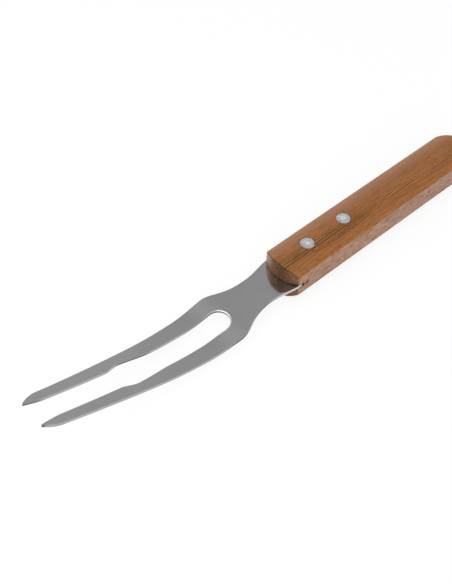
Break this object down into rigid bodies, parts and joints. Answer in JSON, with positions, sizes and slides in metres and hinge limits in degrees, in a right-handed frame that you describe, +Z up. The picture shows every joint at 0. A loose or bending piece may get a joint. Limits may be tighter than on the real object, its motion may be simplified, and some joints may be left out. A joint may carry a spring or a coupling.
{
  "type": "barbecue fork",
  "caption": "Carving fork with long tines on a stamped, bent steel blade with a slot and inner notches, riveted into a straight wooden handle with a crowned top.",
  "frame": {"origin": "under the middle of the fork's length, on the surface that the handle's underside rests on", "axes": "+X along the fork towards the tips of the tines, +Y across the handle, +Z up, out of the side that the tines curve towards"},
  "size_m": [0.301, 0.0326, 0.0361],
  "materials": {
    "stainless_steel": "stainless steel sheet, polished to a soft mirror with faint lengthwise grain",
    "oiled_wood": "orange-brown hardwood with straight grain and fine dark pores, sanded and lightly oiled",
    "rivet_aluminium": "aluminium pin, peened and sanded flush with the wood"
  },
  "bodies": {
    "root": {"fork_blade": "stainless_steel", "handle": "oiled_wood", "rivet_front": "rivet_aluminium", "rivet_rear": "rivet_aluminium"}
  },
  "joints": []
}
